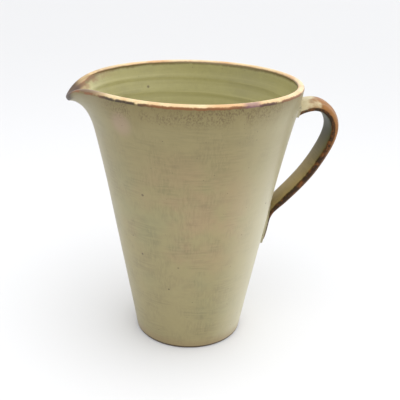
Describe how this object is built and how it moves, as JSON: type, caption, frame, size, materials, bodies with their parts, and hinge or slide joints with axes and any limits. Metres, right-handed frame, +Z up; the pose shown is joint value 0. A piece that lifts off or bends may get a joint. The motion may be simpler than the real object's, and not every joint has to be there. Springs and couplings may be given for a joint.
{
  "type": "ceramic pitcher",
  "caption": "Hand-thrown stoneware pitcher: flared glazed body, pouring lip pulled from the rim, and a pulled strap handle bedded in joint clay.",
  "frame": {"origin": "centre of the flat base, on the throwing axis", "axes": "+Z up along the throwing axis, +X towards the handle, so that the pouring lip points along -X"},
  "size_m": [0.2098, 0.1656, 0.21],
  "materials": {
    "body_glaze": "satin olive-khaki stoneware glaze, clouded warm tan, breaking to light cream and rust on the rim; the base is bare buff clay",
    "handle_glaze": "the same glaze, pale tan on the crown of the strap and breaking to dark rust brown along its edges",
    "joint_glaze": "the same olive-khaki glaze, a little thicker in the corners of the joints"
  },
  "bodies": {
    "root": {"thrown_body": "body_glaze", "handle_strap": "handle_glaze", "upper_joint_clay": "joint_glaze", "lower_joint_clay": "joint_glaze"}
  },
  "joints": []
}
